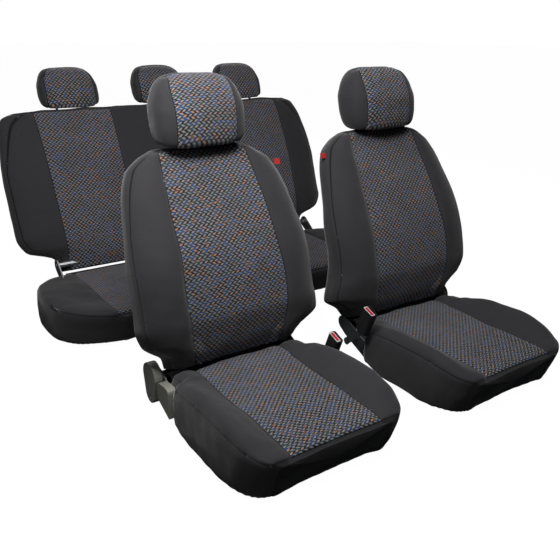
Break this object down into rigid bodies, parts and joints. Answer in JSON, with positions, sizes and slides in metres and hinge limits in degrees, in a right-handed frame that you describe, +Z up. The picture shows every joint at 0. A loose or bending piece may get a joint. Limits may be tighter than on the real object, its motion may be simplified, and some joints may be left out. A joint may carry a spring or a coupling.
{
  "type": "car seat cover set",
  "caption": "Fitted cloth seat covers with patterned inserts on two bucket front seats and one rear bench, with headrests, hinged backs and belt buckles.",
  "frame": {"origin": "middle of the whole set on the surface that the seats stand on", "axes": "+Z up, the seats face -Y, +X runs from the left front seat to the right one as a viewer in front of them sees them"},
  "size_m": [1.396, 1.7282, 0.889],
  "materials": {
    "insert": "woven jacquard",
    "surround": "brushed knit cloth",
    "foam": "moulded foam",
    "frame_steel": "bare",
    "rod_chrome": "polished",
    "grey_plastic": "grained",
    "black_plastic": "satin",
    "red_plastic": "gloss",
    "red_tape": "woven"
  },
  "bodies": {
    "base": {"front_1_cushion_insert": "insert", "front_1_cushion_surround": "surround", "front_1_cushion_foam": "foam", "front_1_cushion_pan": "frame_steel", "front_1_side_trim": "grey_plastic", "front_1_lever_screw": "frame_steel", "front_2_cushion_insert": "insert", "front_2_cushion_surround": "surround", "front_2_cushion_foam": "foam", "front_2_cushion_pan": "frame_steel", "front_2_side_trim": "grey_plastic", "front_2_lever_screw": "frame_steel", "bench_cushion_insert_left": "insert", "bench_cushion_insert_right": "insert", "bench_cushion_surround": "surround", "bench_cushion_foam": "foam", "bench_cushion_pan": "frame_steel"},
    "front_1_back": {"front_1_back_insert": "insert", "front_1_back_surround": "surround", "front_1_back_foam": "foam", "front_1_back_frame": "frame_steel", "front_1_tag": "red_tape"},
    "front_1_headrest": {"front_1_headrest_insert": "insert", "front_1_headrest_surround": "surround", "front_1_headrest_foam": "foam", "front_1_headrest_rods": "rod_chrome"},
    "front_1_lever": {"front_1_recline_lever": "grey_plastic"},
    "front_1_buckle": {"front_1_buckle_stalk": "frame_steel", "front_1_buckle_body": "black_plastic"},
    "front_1_button": {"front_1_buckle_button": "red_plastic"},
    "front_2_back": {"front_2_back_insert": "insert", "front_2_back_surround": "surround", "front_2_back_foam": "foam", "front_2_back_frame": "frame_steel", "front_2_tag": "red_tape"},
    "front_2_headrest": {"front_2_headrest_insert": "insert", "front_2_headrest_surround": "surround", "front_2_headrest_foam": "foam", "front_2_headrest_rods": "rod_chrome"},
    "front_2_lever": {"front_2_recline_lever": "grey_plastic"},
    "front_2_buckle": {"front_2_buckle_stalk": "frame_steel", "front_2_buckle_body": "black_plastic"},
    "front_2_button": {"front_2_buckle_button": "red_plastic"},
    "bench_back": {"bench_back_insert_left": "insert", "bench_back_insert_right": "insert", "bench_back_surround": "surround", "bench_back_foam": "foam", "bench_back_frame": "frame_steel"},
    "bench_headrest_left": {"bench_headrest_left_insert": "insert", "bench_headrest_left_surround": "surround", "bench_headrest_left_foam": "foam", "bench_headrest_left_rods": "rod_chrome"},
    "bench_headrest_middle": {"bench_headrest_middle_insert": "insert", "bench_headrest_middle_surround": "surround", "bench_headrest_middle_foam": "foam", "bench_headrest_middle_rods": "rod_chrome"},
    "bench_headrest_right": {"bench_headrest_right_insert": "insert", "bench_headrest_right_surround": "surround", "bench_headrest_right_foam": "foam", "bench_headrest_right_rods": "rod_chrome"}
  },
  "joints": [
    {"name": "front_1_recline", "type": "hinge", "parent": "base", "child": "front_1_back", "pos_m": [-0.33, -0.3333, 0.098], "axis": [-1, 0, 0], "range_deg": [-8, 36]},
    {"name": "front_1_headrest_height", "type": "slide", "parent": "front_1_back", "child": "front_1_headrest", "axis": [0, 0.3338, 0.9426], "range_m": [0, 0.06]},
    {"name": "front_1_lever_turn", "type": "hinge", "parent": "base", "child": "front_1_lever", "pos_m": [-0.564, -0.3263, 0.036], "axis": [-1, 0, 0], "range_deg": [0, 12], "stiffness_Nm_per_rad": 6},
    {"name": "front_1_buckle_swing", "type": "hinge", "parent": "base", "child": "front_1_buckle", "pos_m": [-0.065, -0.4103, 0.074], "axis": [1, 0, 0], "range_deg": [0, 30]},
    {"name": "front_1_buckle_press", "type": "slide", "parent": "front_1_buckle", "child": "front_1_button", "axis": [0, 0.3584, -0.9336], "range_m": [0, 0.004], "stiffness_N_per_m": 800},
    {"name": "front_2_recline", "type": "hinge", "parent": "base", "child": "front_2_back", "pos_m": [0.33, -0.3333, 0.098], "axis": [-1, 0, 0], "range_deg": [-8, 36]},
    {"name": "front_2_headrest_height", "type": "slide", "parent": "front_2_back", "child": "front_2_headrest", "axis": [0, 0.3338, 0.9426], "range_m": [0, 0.06]},
    {"name": "front_2_lever_turn", "type": "hinge", "parent": "base", "child": "front_2_lever", "pos_m": [0.564, -0.3263, 0.036], "axis": [-1, 0, 0], "range_deg": [0, 12], "stiffness_Nm_per_rad": 6},
    {"name": "front_2_buckle_swing", "type": "hinge", "parent": "base", "child": "front_2_buckle", "pos_m": [0.065, -0.4103, 0.074], "axis": [1, 0, 0], "range_deg": [0, 30]},
    {"name": "front_2_buckle_press", "type": "slide", "parent": "front_2_buckle", "child": "front_2_button", "axis": [0, 0.3584, -0.9336], "range_m": [0, 0.004], "stiffness_N_per_m": 800},
    {"name": "bench_fold", "type": "hinge", "parent": "base", "child": "bench_back", "pos_m": [0, 0.5167, 0.165], "axis": [-1, 0, 0], "range_deg": [-80, 0]},
    {"name": "bench_headrest_left_height", "type": "slide", "parent": "bench_back", "child": "bench_headrest_left", "axis": [0, 0.4019, 0.9157], "range_m": [0, 0.05]},
    {"name": "bench_headrest_middle_height", "type": "slide", "parent": "bench_back", "child": "bench_headrest_middle", "axis": [0, 0.4019, 0.9157], "range_m": [0, 0.05]},
    {"name": "bench_headrest_right_height", "type": "slide", "parent": "bench_back", "child": "bench_headrest_right", "axis": [0, 0.4019, 0.9157], "range_m": [0, 0.05]}
  ]
}
